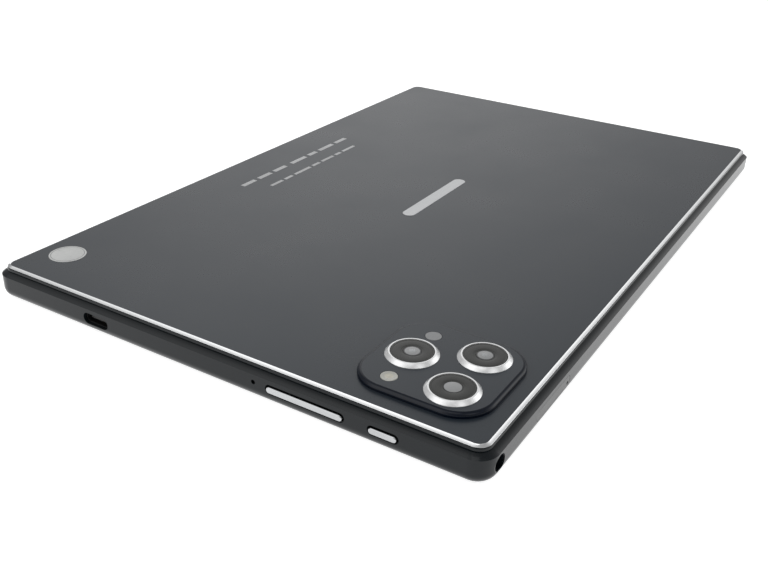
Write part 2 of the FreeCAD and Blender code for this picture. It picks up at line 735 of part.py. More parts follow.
# ------------------------------------------------------------------------ keys
def key(label, x, w, hh, travel_posts, pivot=False):
    b = new_body(label)
    s = sketch(b, label + "_face", "XZ_Plane", B + wall_out + key_proud)
    rrect(s, x, key_z, w, hh, hh / 2)
    pad(b, s, wall_out + key_proud + flange_y0, reverse=True)
    yf = -(B + wall_out + key_proud).v
    soften(b, label + "_edge", key_round, lambda v: abs(v.Y - yf) < 1e-6)
    s = sketch(b, label + "_flange", "XZ_Plane", B - flange_y0)
    rrect(s, x, (flange_bot + flange_top) / 2, w + 2 * flange_over,
          flange_top - flange_bot, 0.3)
    pad(b, s, flange_t, "Flange", reverse=True)
    s = sketch(b, label + "_posts", "XZ_Plane", B - flange_y0 - flange_t)
    for dx in travel_posts:
        circle(s, x + dx, key_z, post_r)
    pad(b, s, post_len, "Posts", reverse=True)
    if pivot:
        # round nub behind the flange that the key rocks about
        s = sketch(b, label + "_pivot", "XY_Plane", key_z - rock_half)
        rrect(s, x, -B + rock_y - rock_r / 2, rock_r * 2, rock_r * 3, rock_r)
        pad(b, s, rock_half * 2, "Pivot")
    return keep(label, b)


key("volume_rocker", vol_x, vol_w, vol_h, (-rock_arm, rock_arm), True)
key("power_button", pow_x, pow_w, pow_h, (q(0.0),))

dome_y = dim("dome_y", 3.9)           # dome tops, in from the side
dome_t = dim("dome_t", 0.15)
dome_r = dim("dome_rad", 1.2)
flex_t = dim("flex_t", 0.15)
domes = [rod("dome_%d" % k, x, -B + dome_y, key_z, dome_r, dome_t, "Y")
         for k, x in enumerate((vol_x - rock_arm, vol_x + rock_arm, pow_x))]
keep("key_domes", group("key_domes", domes))
fy = -B + dome_y + dome_t
kx0, kx1, kz0, kz1 = dim("keyflex_x_lo", 18.0), dim("keyflex_x_hi", 58.0), \
    dim("keyflex_z_lo", 3.8), dim("keyflex_z_hi", 6.3)
strip = box("key_strip", kx0, kx1, fy, fy + flex_t, kz0, kz1)
tail = box("key_tail", 43.5, 46.5, fy, fy + 4.5, kz1 - flex_t, kz1)
keep("key_flex", fuse("key_flex", [strip, tail]))
by = fy + flex_t
brk_t = dim("bracket_t", 0.5)
brk_z1 = dim("bracket_z_hi", 6.1)
wallp = box("bracket_wall", 17.4, 58.6, by, by + brk_t, shelf_z1, brk_z1)
foot_x0 = dim("bracket_foot_x_lo", 44.0)
foot_x1 = dim("bracket_foot_x_hi", 46.9)
foot = box("bracket_foot", foot_x0, foot_x1, -B + wall_t, by, shelf_z1, kz0 - 0.05)
keep("key_bracket", fuse("key_bracket", [wallp, foot]))

# ------------------------------------------------------------------ USB socket
usb_y0 = -B - wall_out + usb_set
ub = new_body("usb_shell")
s = sketch(ub, "usb_outer", "XZ_Plane", B + wall_out - usb_set)
rrect(s, usb_x, side_z, usb_out_w, usb_out_h, usb_out_h / 2)
pad(ub, s, usb_len, reverse=True)
s = sketch(ub, "usb_inner", "XZ_Plane", B + wall_out - usb_set + 0.5)
rrect(s, usb_x, side_z, usb_out_w - 2 * usb_skin, usb_out_h - 2 * usb_skin,
      usb_out_h / 2 - usb_skin)
pocket(ub, s, usb_len - usb_skin + 0.5)
keep("usb_shell", ub)
ton_w = dim("tongue_w", 6.7)
ton_t = dim("tongue_t", 0.7)
tb = new_body("usb_tongue")
s = sketch(tb, "tongue_outline", "XY_Plane", side_z - ton_t / 2)
rrect(s, usb_x, usb_y0 + (usb_len - usb_skin + 0.6) / 2, ton_w, usb_len - usb_skin - 0.6, 0.4)
pad(tb, s, ton_t)
keep("usb_tongue", tb)

# ------------------------------------------------------------ headphone socket
jb = new_body("jack_body")
jx1 = A - wall_t - 0.05
s = sketch(jb, "jack_body_outline", "XY_Plane", jack_z0)
rrect(s, jx1 - jack_len / 2, jack_y, jack_len, jack_w, 1.75)
pad(jb, s, jack_z1 - jack_z0)
s = sketch(jb, "jack_bore", "YZ_Plane", jx1 + 1.0)
circle(s, jack_y, side_z, jack_bore_r)
pocket(jb, s, jack_len - 1.0 + 1.0, "Bore")
keep("jack_body", jb)
terms = [box("jack_term_%d" % k, jx1 - 3.0 - 3.0 * k - 0.8, jx1 - 3.0 - 3.0 * k,
             jack_y + jack_w / 2, jack_y + jack_w / 2 + 0.45, 4.0, 5.3) for k in range(4)]
keep("jack_contacts", group("jack_contacts", terms))

# --------------------------------------------------------- card tray and eject
tx0 = dim("tray_x_lo", 46.8)
tcy0 = dim("carrier_y_lo", -94.6)
tcy1 = dim("carrier_y_hi", -78.4)
tcz0 = dim("carrier_z_lo", 3.25)
tcz1 = dim("carrier_z_hi", 4.35)
ct = new_body("card_tray")
s = sketch(ct, "tray_face", "YZ_Plane", A - tray_face_t)
rrect(s, tray_y, side_z, tray_w, tray_h, tray_h / 2)
pad(ct, s, tray_face_t + wall_out - 0.02)
s = sketch(ct, "tray_carrier", "XY_Plane", tcz0)
rrect(s, (tx0 + A - tray_face_t + 0.4) / 2, (tcy0 + tcy1) / 2, A - tray_face_t + 0.4 - tx0,
      tcy1 - tcy0, 0.3)
pad(ct, s, tcz1 - tcz0, "Carrier")
s = sketch(ct, "card_pockets", "XY_Plane", tcz1 + 0.5)
rrect(s, 67.2, (tcy0 + tcy1) / 2, 12.4, 8.9, 0.6)
rrect(s, 54.0, (tcy0 + tcy1) / 2, 11.2, 15.1 - 0.5, 0.6)
pocket(ct, s, 0.5 + 0.75, "CardPockets")
s = sketch(ct, "card_windows", "XY_Plane", tcz1 + 0.5)
rrect(s, 67.2, (tcy0 + tcy1) / 2, 9.4, 6.4, 0.8)
rrect(s, 54.0, (tcy0 + tcy1) / 2, 8.0, 11.0, 0.8)
pocket(ct, s, 3.0, "CardWindows")
s = sketch(ct, "eject_pinhole", "YZ_Plane", A + 3.0)
circle(s, pin_y, pin_z, pin_r)
pocket(ct, s, 5.2, "EjectPinhole")
keep("card_tray", ct)

rod_s = dim("eject_rod_side", 0.9)
rod_z0 = dim("eject_rod_z_lo", 3.55)
rod_x0 = dim("eject_rod_x_lo", 46.6)
rod_x1 = dim("eject_rod_x_hi", 76.6)
er = new_body("eject_rod")
s = sketch(er, "eject_rod_outline", "XY_Plane", rod_z0)
rrect(s, (rod_x0 + rod_x1) / 2, pin_y, rod_x1 - rod_x0, rod_s, 0.2)
pad(er, s, rod_s)
keep("eject_rod", er)

piv_x = dim("lever_pivot_x", 44.6)
piv_y = dim("lever_pivot_y", -83.0)
piv_r = dim("lever_pin_rad", 0.6)
lev_z0 = dim("lever_z_lo", 3.4)
lev_z1 = dim("lever_z_hi", 3.9)
lv = new_body("eject_lever")
s = sketch(lv, "lever_outline", "XY_Plane", lev_z0)
poly(s, [(43.8, -90.0), (45.2, -90.0), (45.2, -84.4), (46.0, -83.7), (46.0, -82.3),
         (45.2, -81.6), (45.2, -76.8), (46.3, -76.8), (46.3, -75.8), (43.8, -75.8),
         (43.8, -81.6), (43.2, -82.3), (43.2, -83.7), (43.8, -84.4)])
circle(s, piv_x, piv_y, piv_r + 0.05)
pad(lv, s, lev_z1 - lev_z0)
keep("eject_lever", lv)

cz0, cz1 = dim("connector_z_lo", 3.12), dim("connector_z_hi", 4.95)
cpz = dim("connector_plate_z", 4.5)
cxa, cxb = dim("connector_x_lo", 42.0), dim("connector_x_hi", 73.0)
cwx = dim("connector_wall_x", 48.0)
top = box("connector_plate", cxa, cxb, -96.0, -75.0, cpz, cz1)
w1 = box("connector_wall_a", cwx, cxb, -96.0, tcy0 - 0.2, cz0, cpz)
w2 = box("connector_wall_b", cwx, cxb, tcy1 + 0.2, pin_y - rod_s / 2 - 0.15, cz0, cpz)
w3 = box("connector_wall_c", cwx, cxb, pin_y + rod_s / 2 + 0.15, -75.0, cz0, cpz)
post = rod("connector_post", piv_x, piv_y, 3.2, piv_r, cpz - 3.2)
keep("card_connector", fuse("card_connector", [top, w1, w2, w3, post]))
springs = []
for k in range(3):
    for j, x in enumerate((64.5, 69.0)):
        springs.append(box("sim_contact_%d%d" % (k, j), x, x + 2.0, -89.3 + 2.6 * k,
                           -88.5 + 2.6 * k, tcz1 + 0.03, cpz))
for k in range(8):
    springs.append(box("sd_contact_%d" % k, 50.0, 52.4, -92.3 + 1.5 * k, -91.7 + 1.5 * k,
                       tcz1 + 0.03, cpz))
keep("card_contacts", group("card_contacts", springs))

# ------------------------------------------------------------------- mainboard
mb = new_body("mainboard")
bx0, bx1 = dim("board_x_lo", -72.4), dim("board_x_hi", 73.2)
by0, by1 = dim("board_y_lo", -114.8), dim("board_y_hi", -66.0)
nx, ny = dim("board_notch_x", 60.5), dim("board_notch_y", -108.8)
s = sketch(mb, "board_outline", "XY_Plane", board_z0)
ux0, ux1, uy = dim("usb_notch_x_lo", -43.6), dim("usb_notch_x_hi", -33.6), \
    dim("usb_notch_y", -112.7)
poly(s, [(bx0, by0), (ux0, by0), (ux0, uy), (ux1, uy), (ux1, by0), (nx, by0), (nx, ny),
         (bx1, ny), (bx1, by1), (bx0, by1)])
for x, y in stand:
    circle(s, x, y, screw_clear)
pad(mb, s, board_z1 - board_z0)
keep("mainboard", mb)


def can(label, x0, x1, y0, y1):
    x0, x1, y0, y1, z0, z1 = block(label, x0, x1, y0, y1, board_z1, can_z1)
    b = new_body(label)
    s = sketch(b, label + "_outline", "XY_Plane", z0)
    rrect(s, (x0 + x1) / 2, (y0 + y1) / 2, x1 - x0, y1 - y0, 0.8)
    pad(b, s, z1 - z0)
    s = sketch(b, label + "_hollow", "XY_Plane", z0 - 0.5)
    rrect(s, (x0 + x1) / 2, (y0 + y1) / 2, x1 - x0 - 2 * can_t, y1 - y0 - 2 * can_t, 0.5)
    pocket(b, s, z1 - z0 - can_t + 0.5, reverse=True)
    return keep(label, b)


can_z1 = dim("can_z_hi", 7.4)
can_t = dim("can_t", 0.25)
can("shield_can_1", -5.0, 28.0, -112.0, -76.0)
can("shield_can_2", -60.0, -16.0, -97.5, -76.0)
slab("processor", 4.0, 18.0, -100.0, -86.0, board_z1, 6.9)
chips = []
for n, x0, x1, y0, y1 in (("a", -1.0, 9.0, -83.5, -78.0), ("b", 12.0, 24.0, -83.5, -78.0),
                          ("c", -52.0, -40.0, -93.0, -83.0), ("d", -34.0, -26.0, -90.0, -82.0)):
    b6 = block("chip_" + n, x0, x1, y0, y1, board_z1, 6.7)
    chips.append(box("chip_block_" + n, *b6))
keep("memory_chips", group("memory_chips", chips))

# --------------------------------------------------------------------- battery
cells = []
for n, x0, x1 in (("a", -66.0, -1.5), ("b", 1.5, 66.0)):
    b6 = block("cell_" + n, x0, x1, -58.0, 44.0, mid_z1, 7.8)
    cells.append(box("cell_block_" + n, *b6))
keep("battery_cells", group("battery_cells", cells))
slab("battery_board", -20.0, 20.0, -64.0, -58.0, 4.2, 5.0)
lead = new_body("battery_lead")
s = sketch(lead, "lead_section", "YZ_Plane", -5.0)
poly(s, [(-60.0, 5.0), (-60.0, 5.15), (-65.0, 5.15), (-65.0, 6.3), (-69.5, 6.3), (-69.5, 5.8),
         (-66.5, 5.8), (-66.5, 6.15), (-65.15, 6.15), (-65.15, 5.0)])
pad(lead, s, 10.0)
keep("battery_lead", lead)

# ------------------------------------------------------------- sound and radio
slab("speaker_left", -64.0, -32.0, 104.0, 117.5, mid_z1, 7.3, 1.0)
slab("speaker_right", 32.0, 64.0, 104.0, 117.5, mid_z1, 7.3, 1.0)
slab("microphone", 14.1, 17.7, -117.65, -116.5, 4.3, 6.6)
slab("wifi_antenna", -A + wall_t, -A + wall_t + 0.2, -25.0, 25.0, 3.6, 7.2)
slab("cell_antenna", -28.0, 28.0, B - wall_t - 0.2, B - wall_t, 3.6, 7.2)

coax_r = dim("coax_rad", 0.5)
coax_z = dim("coax_z", 6.4)
cx0 = -A + wall_t + 0.2 + coax_r
turn = dim("coax_turn_rad", 3.0)
p0 = V(cx0.v, -20.0, coax_z.v)
p1 = V(cx0.v, -60.0, coax_z.v)
t = turn.v
k45 = t * (1 - math.cos(math.pi / 4))
s45 = t * math.sin(math.pi / 4)
mid1 = V(cx0.v + t * (1 - math.cos(math.pi / 8)), -60.0 - t * math.sin(math.pi / 8), coax_z.v)
p2 = V(cx0.v + k45, -60.0 - s45, coax_z.v)
p3 = V(p2.x + 3.0, p2.y - 3.0, coax_z.v)
# second bend turns back to the -Y direction: its centre lies at (p3 + (-s45, -s45))
c2 = V(p3.x - s45, p3.y - s45, coax_z.v)
mid2 = V(c2.x + t * math.cos(math.pi / 8), c2.y + t * math.sin(math.pi / 8), coax_z.v)
p4 = V(c2.x + t, c2.y, coax_z.v)
p5 = V(p4.x, -72.0, coax_z.v)
path = Part.Wire([Part.LineSegment(p0, p1).toShape(), Part.Arc(p1, mid1, p2).toShape(),
                  Part.LineSegment(p2, p3).toShape(), Part.Arc(p3, mid2, p4).toShape(),
                  Part.LineSegment(p4, p5).toShape()])
ring = Part.Wire([Part.makeCircle(coax_r.v, p0, V(0, 1, 0))])
tube = path.makePipeShell([ring], True, False)
plug = Part.makeCylinder(1.2, 1.1, V(p5.x, p5.y, board_z1.v))
coax = doc.addObject("Part::Feature", "coax_cable")
coax.Shape = tube.fuse(plug)
coax.Placement = FreeCAD.Placement()
keep("coax_cable", coax)

# ------------------------------------------------------------------ flex leads
df = new_body("display_flex")
s = sketch(df, "display_flex_section", "YZ_Plane", -22.0)
poly(s, [(-109.5, 1.5), (-109.5, 1.65), (-110.4, 1.65), (-110.4, 4.82), (-105.5, 4.82),
         (-105.5, 4.97), (-110.55, 4.97), (-110.55, 1.5)])
pad(df, s, 17.0)
keep("display_flex", df)
tf = new_body("touch_flex")
s = sketch(tf, "touch_flex_section", "YZ_Plane", -29.0)
poly(s, [(-114.5, 1.06), (-111.05, 1.06), (-111.05, 4.82), (-105.5, 4.82), (-105.5, 4.97),
         (-111.2, 4.97), (-111.2, 1.21), (-114.5, 1.21)])
pad(tf, s, 5.0)
keep("touch_flex", tf)

# --------------------------------------------------------------------- cameras
cam_base = dim("camera_base", 8.4)
cam_base_z = dim("camera_base_z", 9.2)
barrel_r = dim("camera_barrel_rad", 3.1)
for n, x, y in ((1, lens_a_x, lens_a_y), (2, lens_b_x, lens_b_y)):
    b = new_body("camera_module_%d" % n)
    s = sketch(b, "camera_base_%d" % n, "XY_Plane", board_z1)
    rrect(s, x, y, cam_base, cam_base, 0.6)
    pad(b, s, cam_base_z - board_z1)
    s = sketch(b, "camera_barrel_%d" % n, "XY_Plane", cam_base_z)
    circle(s, x, y, barrel_r)
    pad(b, s, disc_z0 - 0.1 - cam_base_z, "Barrel")
    keep("camera_module_%d" % n, b)
led = new_body("flash_led")
s = sketch(led, "flash_board", "XY_Plane", top_z - cover_t - 0.25)
rrect(s, flash_x, -110.4, 6.4, 8.2, 0.5)
pad(led, s, 0.25)
s = sketch(led, "flash_chip", "XY_Plane", top_z - cover_t)
rrect(s, flash_x, flash_y, 3.2, 3.2, 0.3)
pad(led, s, 1.35, "Chip")
keep("flash_led", led)
fc = new_body("front_camera")
s = sketch(fc, "front_camera_base", "XY_Plane", 1.6)
rrect(s, cam_x, cam_y, 6.4, 6.4, 0.5)
pad(fc, s, 3.2)
s = sketch(fc, "front_camera_barrel", "XY_Plane", 1.6)
circle(s, cam_x, cam_y, cam_r - 0.1)
pad(fc, s, 0.54, "Barrel", reverse=True)
keep("front_camera", fc)

# ---------------------------------------------------------------------- screws
head_r = dim("screw_head_rad", 1.25)
head_h = dim("screw_head_h", 0.5)
shank_r = dim("screw_shank_rad", 0.55)


def screws(label, at, z, length):
    out = []
    for k, (x, y) in enumerate(at):
        hd = rod("%s_head_%d" % (label, k), x, y, z, head_r, head_h)
        sh = rod("%s_shank_%d" % (label, k), x, y, z - length, shank_r, length)
        sl = box("%s_slot_%d" % (label, k), q(x) - 0.8, q(x) + 0.8, q(y) - 0.12, q(y) + 0.12,
                 z + head_h - 0.25, z + head_h + 0.1)
        out.append(cut("%s_%d" % (label, k), fuse("%s_body_%d" % (label, k), [hd, sh]), [sl]))
    return keep(label, group(label, out))


screws("plate_screws", [((A - screw_in) if side > 0 else -(A - screw_in), y)
                        for side, y, tag in boss_at], mid_z1, 1.9)
screws("board_screws", stand, board_z1, 1.9)

# ---------------------------------------------------------------------- output
doc.recompute()
bad = [o.Name for o in doc.Objects if "Invalid" in o.State or "Error" in o.State]
for label, obj in nodes:
    if obj.Shape.isNull() or not obj.Shape.isValid() or not obj.Shape.Solids:
        bad.append(label)
if bad:
    raise RuntimeError("failed: %s" % bad)
if len(nodes) > 60 or len(set(n for n, o in nodes)) != len(nodes):
    raise RuntimeError("node list")
os.makedirs("parts", exist_ok=True)
for label, obj in nodes:
    obj.Shape.exportStep("parts/%s.step" % label)
    bb = obj.Shape.BoundBox
    print("%-18s %10.2f mm3  solids %2d  x %7.2f %7.2f  y %8.2f %8.2f  z %6.2f %6.2f" % (
        label, obj.Shape.Volume, len(obj.Shape.Solids), bb.XMin, bb.XMax, bb.YMin, bb.YMax,
        bb.ZMin, bb.ZMax))
print(len(nodes), "nodes")
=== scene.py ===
import math

import bmesh
import bpy
from mathutils import Matrix, Vector


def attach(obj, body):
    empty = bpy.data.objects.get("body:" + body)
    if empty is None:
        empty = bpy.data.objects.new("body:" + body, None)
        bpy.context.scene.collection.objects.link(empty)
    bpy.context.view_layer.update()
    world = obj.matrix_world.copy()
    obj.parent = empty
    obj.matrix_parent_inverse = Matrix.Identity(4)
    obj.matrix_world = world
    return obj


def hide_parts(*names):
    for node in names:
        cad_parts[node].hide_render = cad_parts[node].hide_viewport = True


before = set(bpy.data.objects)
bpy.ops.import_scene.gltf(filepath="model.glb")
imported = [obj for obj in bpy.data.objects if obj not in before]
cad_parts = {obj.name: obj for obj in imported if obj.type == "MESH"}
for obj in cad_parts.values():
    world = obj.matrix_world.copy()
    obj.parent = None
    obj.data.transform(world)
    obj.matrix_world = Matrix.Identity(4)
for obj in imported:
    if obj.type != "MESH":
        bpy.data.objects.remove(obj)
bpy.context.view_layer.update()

mm = 0.001
scene = bpy.context.scene

# ------------------------------------------------------------------- camera
cam_data = bpy.data.cameras.new("camera")
cam_data.sensor_fit = "HORIZONTAL"
cam_data.sensor_width = 36.0
cam_data.lens = 43.392
cam_data.clip_start = 0.01
cam_data.clip_end = 60.0
camera = bpy.data.objects.new("camera", cam_data)
scene.collection.objects.link(camera)
cam_right = Vector((0.84945, 0.526947, 0.027588))
cam_up = Vector((-0.266593, 0.383461, 0.884243))
cam_back = Vector((0.455371, -0.758475, 0.466211))
cam_pos = Vector((0.139978, -0.267201, 0.131714))
camera.matrix_world = Matrix([
    [cam_right[k], cam_up[k], cam_back[k], cam_pos[k]] for k in range(3)] + [[0, 0, 0, 1]])
scene.camera = camera
scene.view_settings.view_transform = "Standard"
scene.view_settings.look = "None"
scene.view_settings.exposure = 0.0
scene.view_settings.gamma = 1.0


# ---------------------------------------------------------------- materials
def new_material(name):
    m = bpy.data.materials.new(name)
    m.use_nodes = True
    nt = m.node_tree
    nt.nodes.clear()
    out = nt.nodes.new("ShaderNodeOutputMaterial")
    b = nt.nodes.new("ShaderNodeBsdfPrincipled")
    nt.links.new(b.outputs["BSDF"], out.inputs["Surface"])
    return m, nt, b


def coords(nt, scale=(1.0, 1.0, 1.0)):
    t = nt.nodes.new("ShaderNodeTexCoord")
    m = nt.nodes.new("ShaderNodeMapping")
    m.inputs["Scale"].default_value = scale
    nt.links.new(t.outputs["Object"], m.inputs["Vector"])
    return m.outputs["Vector"]


def noise(nt, vec, scale, detail=3.0, rough=0.55):
    n = nt.nodes.new("ShaderNodeTexNoise")
    n.inputs["Scale"].default_value = scale
    n.inputs["Detail"].default_value = detail
    n.inputs["Roughness"].default_value = rough
    nt.links.new(vec, n.inputs["Vector"])
    return n.outputs["Fac"]


def span(nt, fac, lo, hi, a=0.3, b=0.7):
    r = nt.nodes.new("ShaderNodeMapRange")
    r.inputs["From Min"].default_value = a
    r.inputs["From Max"].default_value = b
    r.inputs["To Min"].default_value = lo
    r.inputs["To Max"].default_value = hi
    nt.links.new(fac, r.inputs["Value"])
    return r.outputs["Result"]


def math_node(nt, op, a, b=None, c=None):
    n = nt.nodes.new("ShaderNodeMath")
    n.operation = op
    for k, v in enumerate((a, b, c)):
        if v is None:
            continue
        if isinstance(v, (int, float)):
            n.inputs[k].default_value = v
        else:
            nt.links.new(v, n.inputs[k])
    return n.outputs["Value"]


def mix_color(nt, fac, a, b):
    n = nt.nodes.new("ShaderNodeMix")
    n.data_type = "RGBA"
    for sock, v in ((n.inputs["Factor"], fac), (n.inputs["A"], a), (n.inputs["B"], b)):
        if isinstance(v, (int, float)):
            sock.default_value = v
        elif isinstance(v, (tuple, list)):
            sock.default_value = tuple(v) + (1.0,) * (4 - len(v))
        else:
            nt.links.new(v, sock)
    return n.outputs["Result"]


def bumped(nt, b, height, distance, strength=1.0, normal=None):
    n = nt.nodes.new("ShaderNodeBump")
    n.inputs["Strength"].default_value = strength
    n.inputs["Distance"].default_value = distance
    nt.links.new(height, n.inputs["Height"])
    if normal is not None:
        nt.links.new(normal, n.inputs["Normal"])
    nt.links.new(n.outputs["Normal"], b.inputs["Normal"])
    return n.outputs["Normal"]


def specks(nt, size=0.012, radius=0.009, share=0.35):
    """Rare dust grains: a dot in some cells of a coarse cell pattern."""
    vec = coords(nt)
    v = nt.nodes.new("ShaderNodeTexVoronoi")
    v.inputs["Scale"].default_value = 1.0 / size
    v.inputs["Randomness"].default_value = 1.0
    nt.links.new(vec, v.inputs["Vector"])
    dot = math_node(nt, "LESS_THAN", v.outputs["Distance"], radius)
    sep = nt.nodes.new("ShaderNodeSeparateColor")
    nt.links.new(v.outputs["Color"], sep.inputs["Color"])
    rare = math_node(nt, "LESS_THAN", sep.outputs["Red"], share)
    return math_node(nt, "MULTIPLY", dot, rare)


def surface(name, color, metallic=0.0, rough=0.4, var=0.1, grain=1800.0, bump=4e-6,
            rough_var=0.08, brushed=None, ior=1.5, coat=0.0, coat_rough=0.1,
            transmission=0.0, dust=False, blotch=60.0, anis=0.0):
    m, nt, b = new_material(name)
    vec = coords(nt, brushed if brushed else (1.0, 1.0, 1.0))
    plain = coords(nt)
    fine = noise(nt, vec, grain if not brushed else 1.0, 4.0)
    wide = noise(nt, plain, blotch, 3.0)
    tone = math_node(nt, "ADD", math_node(nt, "MULTIPLY", fine, 0.5),
                     math_node(nt, "MULTIPLY", wide, 0.5))
    lo = tuple(c * (1 - var) for c in color)
    hi = tuple(min(1.0, c * (1 + var)) for c in color)
    col = mix_color(nt, span(nt, tone, 0.0, 1.0, 0.35, 0.65), lo, hi)
    if dust:
        col = mix_color(nt, specks(nt), col, (0.55, 0.56, 0.57))
    nt.links.new(col, b.inputs["Base Color"])
    r = span(nt, tone, max(0.02, rough - rough_var), rough + rough_var, 0.35, 0.65)
    nt.links.new(r, b.inputs["Roughness"])
    b.inputs["Metallic"].default_value = metallic
    b.inputs["IOR"].default_value = ior
    b.inputs["Coat Weight"].default_value = coat
    b.inputs["Coat Roughness"].default_value = coat_rough
    b.inputs["Transmission Weight"].default_value = transmission
    b.inputs["Anisotropic"].default_value = anis
    bumped(nt, b, fine, bump)
    return m


def give(node, mat):
    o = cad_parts[node]
    o.data.materials.clear()
    o.data.materials.append(mat)


# ------------------------------------------------------------- mesh helpers
def link_mesh(name, bm, mats, body="case", replaces=(), slot=None, sharp=28.0):
    me = bpy.data.meshes.new(name)
    bmesh.ops.remove_doubles(bm, verts=bm.verts, dist=1e-7)
    bmesh.ops.recalc_face_normals(bm, faces=bm.faces)
    bm.to_mesh(me)
    bm.free()
    for m in mats:
        me.materials.append(m)
    for p in me.polygons:
        p.use_smooth = True
    me.set_sharp_from_angle(angle=math.radians(sharp))
    o = bpy.data.objects.new(name, me)
    scene.collection.objects.link(o)
    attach(o, body)
    if replaces:
        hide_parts(*replaces)
    return o


def rr_points(cx, cy, hx, hy, r, n):
    """A rounded rectangle, counter-clockwise, n + 1 points round each corner."""
    pts = []
    for sx, sy, a0 in ((1, -1, -90), (1, 1, 0), (-1, 1, 90), (-1, -1, 180)):
        for k in range(n + 1):
            a = math.radians(a0 + 90.0 * k / n)
            pts.append((cx + sx * (hx - r) + r * math.cos(a),
                        cy + sy * (hy - r) + r * math.sin(a)))
    return pts


def ring_of(bm, pts, z):
    return [bm.verts.new((x * mm, y * mm, z * mm)) for x, y in pts]


def bridge(bm, a, b, mat=0):
    n = len(a)
    for k in range(n):
        f = bm.faces.new((a[k], a[(k + 1) % n], b[(k + 1) % n], b[k]))
        f.material_index = mat


def fill(bm, rings, mat=0):
    edges = []
    for ring in rings:
        n = len(ring)
        for k in range(n):
            e = bm.edges.get((ring[k], ring[(k + 1) % n]))
            edges.append(e or bm.edges.new((ring[k], ring[(k + 1) % n])))
    out = bmesh.ops.triangle_fill(bm, use_beauty=True, use_dissolve=False, edges=edges)
    for f in out["geom"]:
        if isinstance(f, bmesh.types.BMFace):
            f.material_index = mat


def circle_pts(cx, cy, r, n):
    return [(cx + r * math.cos(2 * math.pi * k / n), cy + r * math.sin(2 * math.pi * k / n))
            for k in range(n)]


def rounded(pts, rads, seg=4, closed=True):
    """Round the corners of a section. rads gives each corner's size."""
    out = []
    n = len(pts)
    for k in range(n):
        p = Vector(pts[k])
        if rads[k] <= 0 or (not closed and k in (0, n - 1)):
            out.append((p.x, p.y))
            continue
        a, b = Vector(pts[k - 1]), Vector(pts[(k + 1) % n])
        ua, ub = (a - p), (b - p)
        ra = min(rads[k], ua.length * 0.45)
        rb = min(rads[k], ub.length * 0.45)
        pa, pb = p + ua.normalized() * ra, p + ub.normalized() * rb
        for j in range(seg + 1):
            t = j / seg
            c = pa * (1 - t) ** 2 + p * 2 * t * (1 - t) + pb * t * t
            out.append((c.x, c.y))
    return out


def lathe(name, section, cx, cy, mats, pick=None, n=144, closed=True, **kw):
    """Turn a section (radius, height) about a vertical axis at cx, cy."""
    bm = bmesh.new()
    rings = []
    for r, z in section:
        if r < 1e-6:
            rings.append([bm.verts.new((cx * mm, cy * mm, z * mm))])
        else:
            rings.append(ring_of(bm, circle_pts(cx, cy, r, n), z))
    count = len(rings) if closed else len(rings) - 1
    for k in range(count):
        a, b = rings[k], rings[(k + 1) % len(rings)]
        mi = pick(k, section[k], section[(k + 1) % len(rings)]) if pick else 0
        if len(a) == 1 and len(b) == 1:
            continue
        if len(a) == 1:
            for j in range(n):
                bm.faces.new((a[0], b[j], b[(j + 1) % n])).material_index = mi
        elif len(b) == 1:
            for j in range(n):
                bm.faces.new((a[j], a[(j + 1) % n], b[0])).material_index = mi
        else:
            bridge(bm, a, b, mi)
    return link_mesh(name, bm, mats, **kw)


# ---------------------------------------------------------------- materials
paint = surface("satin_dark_coat", (0.0208, 0.0282, 0.0372), rough=0.30, var=0.10, grain=2600.0,
                bump=1.2e-6, rough_var=0.035, dust=True, blotch=35.0)
frame_paint = surface("gloss_frame_coat", (0.0060, 0.0084, 0.0104), rough=0.15, var=0.12,
                      grain=2200.0, bump=8e-7, rough_var=0.04, dust=True, blotch=50.0, ior=1.36)
polished = surface("turned_bright_edge", (0.93, 0.94, 0.95), metallic=1.0, rough=0.10, var=0.03,
                   grain=5200.0, bump=4e-7, rough_var=0.03, blotch=180.0)
bump_gloss = surface("deep_gloss_blue_black", (0.0012, 0.0042, 0.0115), rough=0.11, var=0.15,
                     grain=1500.0, bump=4e-7, rough_var=0.03, ior=1.36)
chrome = surface("lens_ring_chrome", (0.95, 0.955, 0.96), metallic=0.6, rough=0.22, var=0.04,
                 grain=4200.0, bump=7e-7, rough_var=0.04, blotch=900.0)
disc_black = surface("lens_plate_black", (0.020, 0.021, 0.019), rough=0.22, var=0.15,
                     grain=3500.0, bump=6e-7, rough_var=0.05)
dot_grey = surface("lens_eye_grey", (0.29, 0.295, 0.30), rough=0.16, var=0.12, grain=6000.0,
                   bump=8e-7, rough_var=0.05, coat=0.6, coat_rough=0.03)
dot_rim = surface("lens_eye_rim", (0.055, 0.056, 0.058), rough=0.25, var=0.1, grain=6000.0,
                  bump=8e-7, rough_var=0.05)
dot_core = surface("lens_eye_core", (0.30, 0.31, 0.32), metallic=0.7, rough=0.14, var=0.15,
                   grain=9000.0, bump=1e-6, rough_var=0.05, coat=1.0, coat_rough=0.02)
flash_mat = surface("flash_diffuser", (0.50, 0.50, 0.455), rough=0.28, var=0.10, grain=5200.0,
                    bump=2e-6, rough_var=0.06, coat=0.5, coat_rough=0.08)
flash_core = surface("flash_phosphor", (0.58, 0.56, 0.475), rough=0.35, var=0.12, grain=7000.0,
                     bump=3e-6, rough_var=0.06, coat=0.4, coat_rough=0.08)
sensor_mat = surface("sensor_cover", (0.28, 0.285, 0.29), rough=0.3, var=0.08, grain=4500.0,
                     bump=8e-7, rough_var=0.05)
label_mat = surface("film_sticker", (0.66, 0.67, 0.66), rough=0.34, var=0.07, grain=900.0,
                    bump=5e-6, rough_var=0.07, blotch=260.0, coat=0.3, coat_rough=0.2)
label_ink = surface("film_sticker_ring", (0.30, 0.31, 0.31), rough=0.4, var=0.12, grain=2500.0,
                    bump=2e-6, rough_var=0.05)
